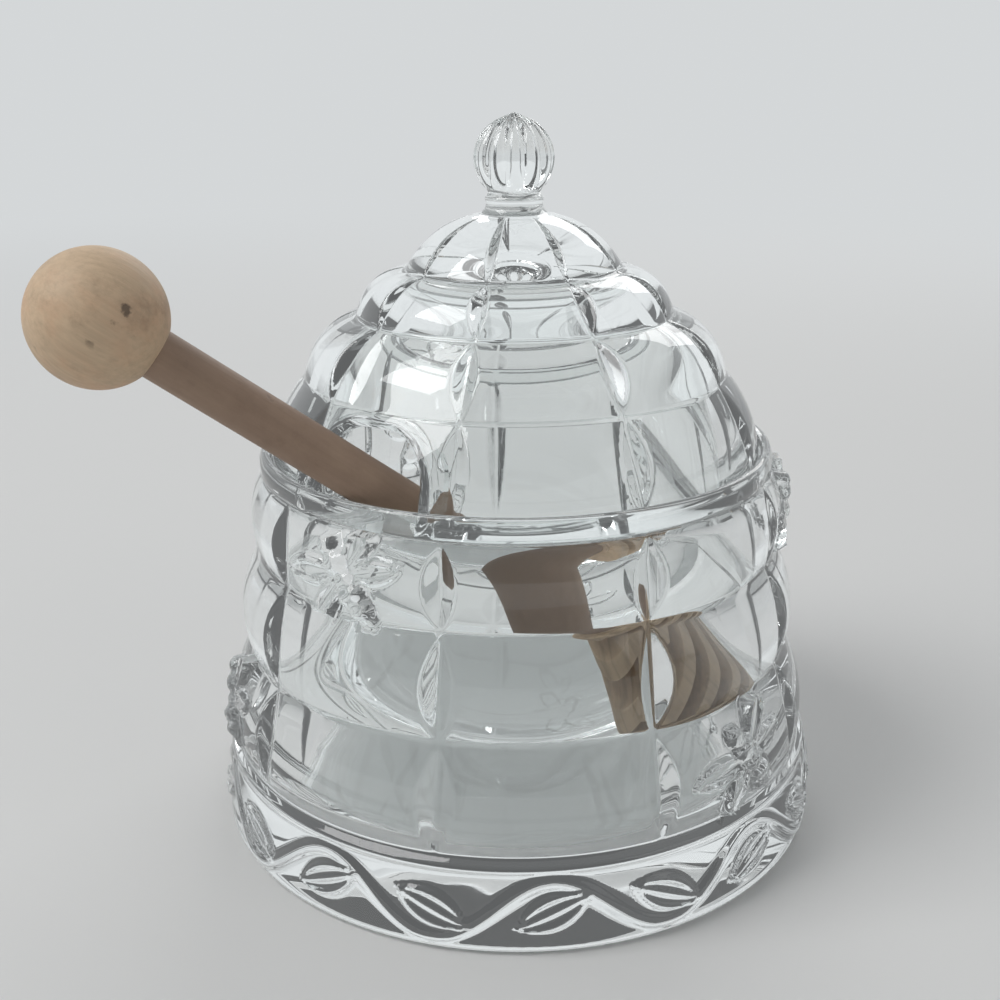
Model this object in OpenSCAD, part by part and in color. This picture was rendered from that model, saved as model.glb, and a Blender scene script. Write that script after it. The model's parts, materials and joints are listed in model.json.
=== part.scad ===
// Pressed-glass honey pot in the shape of a skep beehive, with a lift-off
// domed lid, a notch in the lid's edge and a wooden dipper leaning in it.
// Millimetres, +Z up, origin in the middle of the flat base.
// The viewer stands at -Y. Angles round the pot are taken from -Y, and grow
// towards +X.

/* [Glass pattern] */
// Number of panels round each tier
panels = 9; // [7:1:12]
// Angle of the first mitre cut of the pot, from the front
first_mitre = -15; // [-20:0.5:20]
// Angle by which the lid is set down off the pot's panels
lid_turn = 1; // [-3:0.5:3]
// Share of a panel's width that the mitre cut between two panels takes
mitre_share = 0.17; // [0.1:0.01:0.3]

/* [Pot] */
// Radius of the foot at the table
foot_r = 57.2; // [55:0.1:60]
// Radius at the top of the leaf band
band_r = 55.4; // [54:0.1:57]
// Height of the leaf band above the table
band_h = 15.9; // [12:0.1:18]
// Height of the groove under tier 1
groove1_z = 16.6; // [15:0.1:19]
// Radius of the groove under tier 1
groove1_r = 54.5; // [52:0.1:56]
// Height of the groove between tiers 1 and 2
groove2_z = 34.6; // [31:0.1:38]
// Radius of the groove between tiers 1 and 2
groove2_r = 50.8; // [49:0.1:53]
// Height of the groove between tiers 2 and 3
groove3_z = 52.9; // [49:0.1:56]
// Radius of the groove between tiers 2 and 3
groove3_r = 48; // [46.5:0.1:50]
// Height of the plain rim, from its groove to its top
rim_h = 4; // [2.5:0.1:6]
// Radius of the pot's plain rim
rim_r = 46.7; // [45.5:0.1:48]
// Height of the rim's top above the table
pot_h = 71.6; // [70:0.1:75]
// How far tier 1 swells out of the line between its grooves
swell1 = 1.9; // [1:0.1:3]
// How far tier 2 swells
swell2 = 2.4; // [1:0.1:3]
// How far tier 3 swells
swell3 = 1.8; // [1:0.1:3]
// How far the leaf band and the rim swell
band_swell = 0.4; // [0.1:0.1:0.8]
// Thickness of the thin lip round the lid's seat
lip_wall = 1.8; // [1.2:0.1:2.4]
// Depth of the lid's seat below the rim's top
seat_depth = 5.2; // [4:0.1:7]
// Thickness of the wall at the seat, without the lip
mouth_wall = 5.2; // [4:0.1:6]
// Thickness of the wall at the floor, measured at the groove under tier 1
base_wall = 8.7; // [6:0.1:11]
// Height of the inner floor above the table
floor_z = 10.5; // [8:0.1:14]
// Radius of the corner between floor and wall
floor_round = 8; // [4:0.5:12]

/* [Lid] */
// Radial gap between the lid and the lip round it
lid_gap = 0.3; // [0.2:0.05:0.8]
// Gap between the lid and its seat, which keeps the two apart
seat_gap = 0.2; // [0.1:0.05:0.4]
// Height of the lid's plain edge
lid_edge_h = 2.6; // [1.5:0.1:4]
// Height of the lid's lowest groove above its underside
lid1_h = 17.5; // [15:0.1:20]
// Radius of the lid's lowest groove
lid1_r = 38.1; // [36:0.1:40]
// Height of the lid's middle groove above its underside
lid2_h = 28.3; // [26:0.1:31]
// Radius of the lid's middle groove
lid2_r = 28.4; // [26:0.1:30]
// Height of the lid's top groove above its underside
lid3_h = 36; // [34:0.1:39]
// Radius of the lid's top groove
lid3_r = 19.4; // [17:0.1:21]
// How far the lid's lowest tier swells
lid_swell1 = 1.5; // [1:0.1:2.5]
// How far the lid's second tier swells
lid_swell2 = 2.3; // [1:0.1:3]
// How far the lid's third tier swells
lid_swell3 = 2.2; // [1:0.1:3]
// How far the lid's top tier swells
lid_swell4 = 1.8; // [1:0.1:2.5]
// Thickness of the lid's wall at its edge
lid_wall = 6; // [4:0.1:8]
// Height of the lid's inside above its edge
dome_h = 37; // [30:0.5:39]
// Width of the notch for the dipper
notch_w = 21; // [18:0.5:24]
// How far the notch's middle lies to the left of its panel's middle
notch_shift = 1.5; // [0:0.5:3]
// Height of the notch above the lid's seat
notch_h = 15; // [12:0.2:16]
// Radius of the notch's upper corners
notch_round = 8; // [4:0.5:9]

/* [Finial] */
// Radius of the neck under the knob
neck_r = 5; // [3:0.1:6.5]
// Height of the neck's foot, where it meets the dome, above the lid's underside
neck_h = 45.4; // [43:0.1:48]
// Radius of the fillet between dome and neck
neck_round = 1.8; // [0.5:0.1:3]
// Radius of the knob
knob_r = 7.1; // [6:0.1:8]
// Height of the knob's middle above the neck's foot
knob_rise = 9.4; // [8:0.1:12]
// Radius of the point on the knob
tip_r = 2.7; // [1.5:0.1:3.5]
// Height of the point on the knob
tip_h = 1.05; // [0.5:0.05:2]

/* [Ornament] */
// Length of a leaf of the band
leaf_l = 13; // [10:0.5:15]
// Width of a leaf
leaf_w = 6.4; // [4:0.2:8]
// Angle of the leaves from the level
leaf_tilt = 24; // [0:1:40]
// How far a leaf stands out of the line from the foot to the band's top
leaf_relief = 1.7; // [1:0.1:2.4]
// How far a bee stands out of the swell of its tier
bee_relief = 1.6; // [1:0.1:2.5]
// Angle of the bees from the upright
bee_tilt = 35; // [0:1:45]
// Length of a bee's fore wing
wing_l = 11; // [8:0.5:12]
// Share of the length that is the width of a wing
wing_share = 0.42; // [0.3:0.01:0.5]
// Length of a bee's abdomen
abdomen_l = 13; // [10:0.5:14]
// Angle of the fore wings from the bee's length
wing_turn = 62; // [50:1:75]
// Angle from a fore wing to the hind wing behind it
wing_step = 50; // [40:1:60]
// Distance of the wings' roots from the middle of the thorax
wing_root = 1.4; // [0.5:0.1:2.5]
// How far the wings lie below the back
wing_drop = 0.8; // [0.3:0.1:1.2]
// How much shorter the hind wings are
hind_short = 2; // [0:0.5:4]
// Greatest radius of a bee's abdomen
abdomen_r = 3; // [2:0.1:4]
// Radius of a bee's thorax
thorax_r = 2.6; // [2:0.1:3]
// Radius of a bee's head
bee_head_r = 1.9; // [1.2:0.1:2.4]
// How far the head and the abdomen rise out of the back's height
body_rise = 0.3; // [0:0.1:0.8]
// How far the thorax rises out of the back's height
thorax_rise = 0.4; // [0:0.1:0.8]
// Share of its radius by which the thorax lies above the wings' roots
thorax_share = 0.8; // [0.5:0.05:1]
// Share of its length by which the abdomen lies below the wings' roots
abdomen_share = 0.28; // [0.2:0.01:0.4]

/* [Dipper] */
// Diameter of the stick
stick_d = 8; // [7:0.1:9]
// Diameter of the ball on the stick's outer end
ball_d = 21; // [18:0.5:25]
// Length of the dipper from the ball's centre to the head's tip
dipper_l = 124; // [110:0.5:140]
// Distance between the middle of the head's tip and the wall at the floor,
// seen from above
tip_inset = 7.452; // [7.4:0.001:12]
// Diameter of the grooved head
head_d = 20; // [16:0.5:21]
// Length of the grooved head
head_l = 26; // [20:1:30]
// Share of the radius that the head loses towards its ends
head_taper = 0.25; // [0.1:0.05:0.5]
// Number of discs that the head is cut into
discs = 7; // [5:1:9]
// Share of each disc's pitch that is wood
disc_share = 0.55; // [0.4:0.05:0.7]
// Wood left round the stick between the discs
core_wall = 1.2; // [0.8:0.1:2]
// Depth of the sockets in the ball and the head
socket_depth = 9; // [5:0.5:10]
// Radial gap of the stick in its sockets, filled with glue
glue_gap = 0.05; // [0.02:0.01:0.1]
// Angle round the lip at which the stick leans on it
lean_angle = -37.6; // [-42:0.2:-34]
// Direction of the stick seen from above, from the ball inwards, from +X
dipper_turn = 15; // [10:0.5:20]
// Slope of the stick below the level
dipper_slope = 36.8; // [35:0.2:38]
// Gap between the stick and the lip, which keeps the two apart
lean_gap = 0.3; // [0.2:0.05:0.5]

/* [Hidden] */
$fn = 144;
step = 360 / panels;
lip_round = lip_wall / 2;
rim_z = pot_h - rim_h;
seat_z = pot_h - seat_depth;
seat_r = rim_r - lip_wall;
mouth_r = seat_r - (mouth_wall - lip_wall);
inner_r = groove1_r - base_wall;
lid_r = seat_r - lid_gap;
lid_z = seat_z + seat_gap;
neck_z = lid_z + neck_h;
knob_z = neck_z + knob_rise;
notch_angle = first_mitre + lid_turn - step / 2;
stick_r = stick_d / 2;
cutter = 2;
skin = 0.05;
arc_steps = 8;
corner_steps = 6;
dome_steps = 12;

// Grooves of the pot and of the lid, as [radius, height], from the foot up
pot_line = [[groove1_r, groove1_z], [groove2_r, groove2_z], [groove3_r, groove3_z], [rim_r, rim_z]];
pot_swell = [swell1, swell2, swell3];
lid_line = [[lid_r, lid_z + lid_edge_h], [lid1_r, lid_z + lid1_h], [lid2_r, lid_z + lid2_h],
    [lid3_r, lid_z + lid3_h], [neck_r + neck_round, neck_z]];
lid_swell = [lid_swell1, lid_swell2, lid_swell3, lid_swell4];

function unit(v) = v / norm(v);
function ring_point(r, turn, z) = [r * sin(turn), -r * cos(turn), z];

// The stick's axis passes over the lip's round top at the least distance
// that clears it: square to the stick and to the lip's circle.
dipper_way = [cos(dipper_slope) * cos(dipper_turn), cos(dipper_slope) * sin(dipper_turn),
    -sin(dipper_slope)];
lip_tangent = [cos(lean_angle), sin(lean_angle), 0];
lean_out = unit(cross(lip_tangent, dipper_way));
lean_up = lean_out[2] < 0 ? -lean_out : lean_out;
lean_point = ring_point(rim_r - lip_round, lean_angle, pot_h - lip_round)
    + lean_up * (stick_r + lip_round + lean_gap);

// The head's tip reaches down to the circle at the wall that leaves the
// inset, so a longer dipper stands out further. The length along the stick
// follows from where its line, seen from above, crosses that circle.
function reach(from, way, r) =
    let (start = [from[0], from[1]], run = [way[0], way[1]], a = run * run, b = start * run)
    (sqrt(b * b - a * (start * start - r * r)) - b) / a;
reach_in = reach(lean_point, dipper_way, inner_r - tip_inset);
ball_centre = lean_point - dipper_way * (dipper_l - reach_in);

// Moves what is drawn along +Z from the origin onto the stick's axis, with
// the ball's centre at the origin
module on_dipper() {
    translate(ball_centre) rotate([0, 90 + dipper_slope, dipper_turn]) children();
}

// Points of the arc that swells out by s from the line from a to b, without b
function swell(a, b, s) =
    let (d = b - a, out = [d[1], -d[0]] / norm(d))
    [for (i = [0:arc_steps - 1]) let (t = i / arc_steps) a + d * t + out * (4 * s * t * (1 - t))];

// The swells of a whole line of grooves, one after another
function swells(line, out) =
    [for (i = [0:len(out) - 1]) each swell(line[i], line[i + 1], out[i])];

// Points of a round corner about a centre, from one angle to another
function round_corner(centre, r, from, to) =
    [for (i = [0:corner_steps]) let (a = from + (to - from) * i / corner_steps)
        centre + r * [cos(a), sin(a)]];

// Knife of one mitre cut, which runs straight from groove to groove and
// meets the swell in a pointed oval
module mitre(a, b, s) {
    d = b - a;
    flare = mitre_share * PI * (a[0] + b[0]) / (2 * panels * s);
    reach = s + cutter;
    translate([a[0], 0, a[1]]) rotate([0, atan2(d[0], d[1]), 0])
        linear_extrude(norm(d))
            polygon([[skin, 0], [reach, reach * flare], [reach, -reach * flare]]);
}

module mitres(line, swell, turn) {
    for (k = [0:panels - 1], i = [0:len(swell) - 1])
        rotate(turn + k * step - 90) mitre(line[i], line[i + 1], swell[i]);
}

// Pointed oval lying in the XY plane along X
module oval_2d(length, width) {
    a = [-length / 2, 0];
    b = [length / 2, 0];
    polygon(concat(swell(a, b, width / 2), swell(b, a, width / 2)));
}

// Sets flat work onto the glass: X runs round the pot, Y up and Z outwards
module on_glass(r, turn, z) {
    translate(ring_point(r, turn, z)) rotate([90, 0, turn]) children();
}

// A bee with its head up, whose back stands out by the given height
module bee(r, turn, z, out) {
    on_glass(r, turn, z) rotate(bee_tilt) {
        for (side = [-1, 1], pair = [0, 1])
            rotate(90 - side * (wing_turn + wing_step * pair)) translate([wing_l / 2 + wing_root, 0, -cutter])
                linear_extrude(out + cutter - wing_drop)
                    oval_2d(wing_l - hind_short * pair, wing_l * wing_share);
        translate([0, 2 * thorax_r, out - bee_head_r + body_rise]) sphere(bee_head_r);
        translate([0, thorax_share * thorax_r, out - thorax_r + thorax_rise]) sphere(thorax_r);
        translate([0, -abdomen_share * abdomen_l, out - abdomen_r + body_rise]) rotate([90, 0, 0])
            rotate_extrude() polygon(swell([0, -abdomen_l / 2], [0, abdomen_l / 2], abdomen_r));
    }
}

// A leaf in the middle of the band, rooted behind the band's upper edge
module leaf(turn, tilt) {
    root = foot_r - band_r + cutter;
    on_glass((foot_r + band_r) / 2 - root, turn, band_h / 2) rotate(tilt)
        linear_extrude(root + leaf_relief) oval_2d(leaf_l, leaf_w);
}

// The whole wall and floor, turned as one outline that goes up the outside,
// over the lip, down the seat and the inside, and out under the flat base
module pot_turned() {
    rotate_extrude() polygon(concat(
        swell([foot_r, 0], [band_r, band_h], band_swell),
        [[band_r, band_h]],
        swells(pot_line, pot_swell),
        swell([rim_r, rim_z], [rim_r, pot_h - lip_round], band_swell),
        round_corner([rim_r - lip_round, pot_h - lip_round], lip_round, 0, 180),
        [[seat_r, seat_z], [mouth_r, seat_z]],
        round_corner([inner_r - floor_round, floor_z + floor_round], floor_round, 0, -90),
        [[0, floor_z], [0, 0]]));
}

module pot() {
    color([0.86, 0.91, 0.92, 0.5]) {
        difference() {
            pot_turned();
            mitres(pot_line, pot_swell, first_mitre);
        }
        for (k = [0:panels / 3 - 1]) {
            bee((groove3_r + rim_r) / 2, first_mitre + (3 * k - 0.5) * step, (groove3_z + rim_z) / 2,
                swell3 + bee_relief);
            bee((groove1_r + groove2_r) / 2, first_mitre + (3 * k + 1.5) * step, (groove1_z + groove2_z) / 2,
                swell1 + bee_relief);
        }
        for (k = [0:2 * panels - 1]) leaf(first_mitre + k * step / 2, k % 2 == 0 ? -leaf_tilt : leaf_tilt);
    }
}

module notch() {
    half = notch_w / 2;
    rotate(notch_angle) translate([-notch_shift, 0, lid_z - seat_gap - skin]) rotate([90, 0, 0])
        linear_extrude(lid_r + cutter) {
            translate([-half, -cutter]) square([notch_w, notch_h - notch_round + cutter]);
            translate([notch_round - half, 0]) square([notch_w - 2 * notch_round, notch_h]);
            for (side = [-1, 1])
                translate([side * (half - notch_round), notch_h - notch_round]) circle(notch_round);
        }
}

module knob() {
    translate([0, 0, knob_z]) {
        sphere(knob_r);
        translate([0, 0, sqrt(knob_r * knob_r - tip_r * tip_r)])
            cylinder(r1 = tip_r, r2 = 2 * skin, h = tip_h);
    }
}

// The dome and the neck, turned as one outline up the outside and down the
// round inside, whose arc meets the lid's axis square to it
module lid_turned() {
    dome_r = lid_r - lid_wall;
    rotate_extrude() polygon(concat(
        [[dome_r, lid_z], [lid_r, lid_z]],
        swells(lid_line, lid_swell),
        round_corner([neck_r + neck_round, neck_z + neck_round], neck_round, 270, 180),
        [[neck_r, knob_z], [0, knob_z]],
        [for (i = [0:dome_steps]) let (a = 90 - i * 90 / (dome_steps + 1))
            [dome_r * cos(a), lid_z + dome_h * sin(a)]]));
}

module lid() {
    color([0.86, 0.91, 0.92, 0.5]) {
        difference() {
            lid_turned();
            mitres(lid_line, lid_swell, first_mitre + lid_turn);
            notch();
        }
        knob();
    }
}

module dipper_ball() {
    color([0.78, 0.6, 0.44]) on_dipper() difference() {
        sphere(ball_d / 2);
        cylinder(r = stick_r + glue_gap, h = ball_d);
    }
}

module dipper_stick() {
    color([0.6, 0.48, 0.38]) on_dipper()
        cylinder(r = stick_r, h = dipper_l - head_l + socket_depth - skin);
}

module dipper_head() {
    pitch = head_l / discs;
    color([0.6, 0.46, 0.34]) on_dipper() translate([0, 0, dipper_l - head_l]) difference() {
        intersection() {
            rotate_extrude() polygon(concat(
                [for (i = [0:2 * arc_steps]) let (t = i / arc_steps - 1)
                    [head_d / 2 * (1 - head_taper * t * t), head_l * (t + 1) / 2]],
                [[0, head_l], [0, 0]]));
            union() {
                cylinder(r = stick_r + core_wall, h = head_l);
                for (i = [0:discs - 1]) translate([0, 0, (i + (1 - disc_share) / 2) * pitch])
                    cylinder(r = head_d, h = pitch * disc_share);
            }
        }
        translate([0, 0, -skin]) cylinder(r = stick_r + glue_gap, h = socket_depth + skin);
    }
}

pot();
lid();
dipper_ball();
dipper_stick();
dipper_head();
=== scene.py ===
import json
import math

import bpy
import numpy as np
from mathutils import Matrix, Vector


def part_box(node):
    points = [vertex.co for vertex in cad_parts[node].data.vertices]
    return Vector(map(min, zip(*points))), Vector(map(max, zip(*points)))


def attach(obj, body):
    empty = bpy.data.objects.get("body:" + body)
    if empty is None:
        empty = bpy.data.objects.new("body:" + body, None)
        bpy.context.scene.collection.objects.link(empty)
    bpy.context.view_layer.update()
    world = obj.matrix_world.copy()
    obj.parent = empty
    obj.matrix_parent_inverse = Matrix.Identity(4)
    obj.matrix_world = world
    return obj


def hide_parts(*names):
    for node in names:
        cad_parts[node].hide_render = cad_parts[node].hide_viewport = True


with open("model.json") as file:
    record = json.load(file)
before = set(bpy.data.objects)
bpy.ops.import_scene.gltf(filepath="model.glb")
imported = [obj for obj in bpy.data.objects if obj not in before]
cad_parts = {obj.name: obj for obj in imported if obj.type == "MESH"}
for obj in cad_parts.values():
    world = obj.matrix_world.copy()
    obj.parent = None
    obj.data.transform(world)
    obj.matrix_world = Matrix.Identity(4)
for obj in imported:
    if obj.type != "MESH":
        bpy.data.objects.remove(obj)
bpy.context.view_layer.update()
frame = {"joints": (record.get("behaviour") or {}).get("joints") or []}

bl_info = {
    "name": "Beehive Honey Pot",
    "version": (1, 0, 0),
    "blender": (4, 5, 0),
    "location": "3D View > Sidebar > Honey Pot",
    "description": "Pressed-glass honey pot with a notched lift-off lid and a wooden dipper",
    "category": "Add Mesh",
}

# Sizes below are in millimetres and angles in radians unless a name or a
# property says otherwise. Angles round the pot are taken from -Y and grow
# towards +X.
MM = 0.001
TURN = 2 * math.pi

# Points round the pot's pattern, the lid's, the plain rings and the knob.
COLUMNS = 720
LID_COLUMNS = 576
PLAIN_COLUMNS = 144
KNOB_COLUMNS = 288

# Edges sharper than this many degrees stay sharp.
GLASS_CREASE = 72
WOOD_CREASE = 40

# A share or a depth that is past every form of the relief, and two margins
# that keep rounding errors out of a panel's number and out of a division.
PAST = 9.0
MARGIN = 1e-9
LEAST = 1e-6


# Meshes

def ring_points(r, z, theta):
    """Points at radius r, height z and angle theta: x = r sin theta, y = -r cos theta."""
    r, z, theta = np.broadcast_arrays(r, z, theta)
    return np.stack([r * np.sin(theta), -r * np.cos(theta), z], axis=-1)


def strip(near, far, first, second):
    """Faces between two closed rows of near and far points that start at the
    vertices first and second: quads, or triangles where the counts differ."""
    if near == far:
        a, b = first + np.arange(near), second + np.arange(near)
        return [np.stack([a, np.roll(a, -1), np.roll(b, -1), b], axis=-1)]
    ratio = max(near, far) // min(near, far)
    dense, sparse = (first, second) if near > far else (second, first)
    j, i = np.arange(max(near, far)), np.arange(min(near, far))
    fan = [dense + j, dense + np.roll(j, -1), sparse + (j + ratio // 2) // ratio % len(i)]
    gap = [sparse + np.roll(i, -1), sparse + i, dense + (ratio * i + ratio - ratio // 2) % len(j)]
    if near < far:
        fan, gap = fan[::-1], gap[::-1]
    return [np.stack(fan, axis=-1), np.stack(gap, axis=-1)]


def closed_surface(name, rows, first_pole, last_pole):
    """Mesh of rows of points, each closed on itself, with a fan of triangles
    to a pole at each end. Where one row has a whole number of times the
    points of the next, each point of the sparser row takes a fan of its own."""
    faces = []
    start = 0
    for near, far in zip(rows[:-1], rows[1:]):
        faces.extend(strip(len(near), len(far), start, start + len(near)))
        start += len(near)
    first, last = np.arange(len(rows[0])), start + np.arange(len(rows[-1]))
    pole = start + len(last)
    faces.append(np.stack([np.full(len(first), pole), np.roll(first, -1), first], axis=-1))
    faces.append(np.stack([np.full(len(last), pole + 1), last, np.roll(last, -1)], axis=-1))
    sizes = np.concatenate([np.full(len(part), part.shape[1]) for part in faces])
    starts = np.concatenate([[0], np.cumsum(sizes)[:-1]])
    corners = np.concatenate([part.ravel() for part in faces])
    points = np.concatenate([*rows, [first_pole, last_pole]]) * MM
    mesh = bpy.data.meshes.new(name)
    mesh.vertices.add(len(points))
    mesh.vertices.foreach_set("co", points.ravel())
    mesh.loops.add(len(corners))
    mesh.loops.foreach_set("vertex_index", corners.astype(np.int32))
    mesh.polygons.add(len(sizes))
    mesh.polygons.foreach_set("loop_start", starts.astype(np.int32))
    mesh.polygons.foreach_set("use_smooth", np.ones(len(sizes), bool))
    mesh.update(calc_edges=True)
    mesh.validate()
    return mesh


def place(mesh, node, body, material, crease):
    """Puts a finished mesh into the scene in the stead of a CAD node."""
    mesh.set_sharp_from_angle(angle=math.radians(crease))
    mesh.materials.append(material)
    piece = bpy.data.objects.new(mesh.name, mesh)
    bpy.context.scene.collection.objects.link(piece)
    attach(piece, body)
    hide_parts(node)


# Shader nodes

class Socket:
    """A shader socket that can be used in sums, as in 1 - mask * 0.5."""

    def __init__(self, tree, link):
        self.tree = tree
        self.link = link

    def __add__(self, other):
        return self.tree.math("ADD", self, other)

    def __radd__(self, other):
        return self.tree.math("ADD", other, self)

    def __sub__(self, other):
        return self.tree.math("SUBTRACT", self, other)

    def __rsub__(self, other):
        return self.tree.math("SUBTRACT", other, self)

    def __mul__(self, other):
        return self.tree.math("MULTIPLY", self, other)

    def __rmul__(self, other):
        return self.tree.math("MULTIPLY", other, self)

    def __pow__(self, other):
        return self.tree.math("POWER", self, other)

    def __rpow__(self, other):
        return self.tree.math("POWER", other, self)


class Shader:
    """A material's or a world's node tree, built up one node at a time."""

    # Places of the colour sockets among all the sockets of a Mix node.
    MIX_SHARE, MIX_A, MIX_B, MIX_RESULT = 0, 6, 7, 2

    def __init__(self, owner):
        owner.use_nodes = True
        self.nodes = owner.node_tree.nodes
        self.links = owner.node_tree.links

    def node(self, kind, settings, *values, output=0, sockets=None, **named):
        """Adds a node: its settings first, then the values or links of its
        sockets, by place or by name. Returns one of its outputs."""
        made = self.nodes.new(kind)
        for key, value in settings.items():
            setattr(made, key, value)
        for key, value in [*enumerate(values), *(sockets or {}).items(), *named.items()]:
            self.put(made.inputs[key], value)
        return Socket(self, made.outputs[output])

    def put(self, socket, value):
        """Links a socket to another, or sets it to a plain value."""
        if isinstance(value, Socket):
            self.links.new(value.link, socket)
        else:
            socket.default_value = value

    def math(self, operation, *values):
        """Works on plain numbers."""
        return self.node("ShaderNodeMath", {"operation": operation}, *values)

    def mix(self, share, a, b):
        """Colour a where share is 0 and b where it is 1."""
        a, b = (value if isinstance(value, Socket) else (*value, 1) for value in (a, b))
        return self.node("ShaderNodeMix", {"data_type": "RGBA"}, output=self.MIX_RESULT,
                         sockets={self.MIX_SHARE: share, self.MIX_A: a, self.MIX_B: b})

    def noise(self, where, scale, detail, roughness=0.5, distortion=0.0, output=0):
        """Soft cloudy noise, with scale cells to a metre."""
        return self.node("ShaderNodeTexNoise", {}, output=output, Vector=where, Scale=scale,
                         Detail=detail, Roughness=roughness, Distortion=distortion)

    def ramp(self, value, before, after, kind="SMOOTHSTEP"):
        """Takes the range before of a value to the range after, and no further."""
        return self.node("ShaderNodeMapRange", {"interpolation_type": kind}, value, *before, *after)

    def vector(self, operation, *values, **others):
        """Works on vectors."""
        return self.node("ShaderNodeVectorMath", {"operation": operation}, *values, **others)

    def position(self, kind="Object"):
        """Where a point is on the piece, or another kind of coordinates."""
        return self.node("ShaderNodeTexCoord", {}, output=kind)

    def ray(self, what):
        """What kind of ray looks at the point, or how often it was mirrored."""
        return self.node("ShaderNodeLightPath", {}, output=what)

    def shown(self):
        """1 for rays that show the surround itself: seen, mirrored or refracted."""
        bent = self.math("MAXIMUM", self.ray("Is Glossy Ray"), self.ray("Is Transmission Ray"))
        return self.math("MAXIMUM", self.ray("Is Camera Ray"), bent)


# Sizes and colours that a user may change

def length(name, description, size):
    """A size that is given in millimetres and kept in metres."""
    return bpy.props.FloatProperty(name=name, description=description, default=size * MM,
                                   unit="LENGTH", precision=4)


def angle(name, description, degrees):
    """An angle that is given in degrees and kept in radians."""
    return bpy.props.FloatProperty(name=name, description=description,
                                   default=math.radians(degrees), subtype="ANGLE")


def colour(name, description, rgb):
    """A colour as shares of red, green and blue."""
    return bpy.props.FloatVectorProperty(name=name, description=description, default=rgb,
                                         subtype="COLOR", size=3, min=0, max=1)


class PatternSizes(bpy.types.PropertyGroup):
    """The pattern that the pot and the lid share"""
    panels: bpy.props.IntProperty(name="Panels", description="Panels round each tier", default=9, min=6)
    first_mitre: angle("First mitre", "Angle of the pot's first mitre cut from the front", -15)
    lid_turn: angle("Lid turn", "How far the lid is turned off the pot's panels", 1)
    mitre_share: bpy.props.FloatProperty(name="Mitre share", default=0.17, min=0, max=1, subtype="FACTOR",
                                         description="Share of a panel's width that a mitre cut takes")
    relief: length("Bee relief", "How far a bee stands out of the swell of its tier", 1.6)
    leaf_relief: length("Leaf relief", "How far a leaf stands out of its band", 0.75)


class PotSizes(bpy.types.PropertyGroup):
    """Sizes of the pot"""
    foot: length("Foot", "Radius of the foot", 57.2)
    band: length("Band", "Height of the leaf band", 15.9)
    rim: length("Rim", "Radius of the plain rim", 46.7)
    lip: length("Lip", "Thickness of the lip round the lid's seat", 1.8)
    seat: length("Seat", "Height of the lid's seat above the table", 66.4)
    mouth: length("Mouth", "Radius of the mouth at the seat", 41.5)
    inner: length("Inner wall", "Radius of the inside just over its round corner", 45.8)
    floor: length("Floor", "Height of the inner floor above the table", 10.5)


class LidSizes(bpy.types.PropertyGroup):
    """Sizes of the lid and its knob"""
    edge: length("Edge", "Radius of the lid's plain edge", 44.6)
    underside: length("Underside", "Height of the lid's underside above the table", 66.6)
    wall: length("Wall", "Thickness of the lid's wall at its edge", 6)
    dome: length("Dome", "Height of the inside above the edge", 37)
    notch_width: length("Notch width", "Width of the notch for the dipper", 21)
    notch_height: length("Notch height", "Height of the notch above the underside", 14.75)
    notch_round: length("Notch corner", "Radius of the notch's upper corners", 8)
    knob: length("Knob", "Radius of the fluted knob", 7.1)
    flutes: bpy.props.IntProperty(name="Flutes", description="Flutes round the knob", default=12, min=3)


class DipperSizes(bpy.types.PropertyGroup):
    """Sizes of the dipper"""
    ball: length("Ball", "Radius of the ball", 10.5)
    stick: length("Stick", "Radius of the stick", 4)
    head: length("Head", "Greatest radius of the grooved head", 10)
    head_length: length("Head length", "Length of the grooved head", 26)
    discs: bpy.props.IntProperty(name="Discs", description="Discs the head is cut into", default=7, min=3)


class Finishes(bpy.types.PropertyGroup):
    """Colours of the glass, the woods and the floor"""
    glass: colour("Glass", "Tint of the clear glass", (0.965, 0.985, 0.982))
    birch: colour("Birch", "Light wood of the ball", (0.66, 0.49, 0.325))
    blush: colour("Blush", "Pinkish stain on the ball", (0.60, 0.34, 0.20))
    dowel: colour("Dowel", "Brown wood of the stick", (0.33, 0.225, 0.16))
    grain: colour("Grain", "Dark lines of the grain", (0.20, 0.13, 0.085))
    floor: colour("Floor", "Pale floor", (0.72, 0.72, 0.71))


def mm(group, *names):
    """Sizes of a property group in millimetres."""
    return [getattr(group, name) / MM for name in names]


# The relief of the glass

# Radius and height of each groove between the tiers, and how far the glass
# swells between one and the next.
POT_GROOVES = [(54.5, 16.6), (50.8, 34.6), (48.0, 52.9), (46.7, 67.6)]
POT_SWELLS = [1.9, 2.4, 1.8]
LID_GROOVES = [(44.6, 69.2), (38.1, 84.1), (28.4, 94.9), (19.4, 102.6), (6.8, 112.0)]
LID_SWELLS = [1.5, 2.3, 2.2, 1.8]

# Width over which the bottom of a mitre cut is rounded.
MITRE_SOFT = 0.08

# A bee leans by its tilt. Its wings stand off the body at WING_TURN degrees,
# the hind pair WING_STEP further back, 1 mm shorter and a little narrower.
# Each is an oval from its root to past its length, with a raised rim.
BEE_TILT = math.radians(35)
WING_TURN, WING_STEP = 62, 50
WING_LONG, WING_WIDE, HIND_NARROW = 5.5, 2.7, 0.3
WING_ROOT, WING_TIP, WING_DROP = 1.4, 0.5, 1.2
WING_SLOPE, WING_RIM, RIM_AT, RIM_WIDE = 0.3, 0.45, 0.62, 0.22

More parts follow.
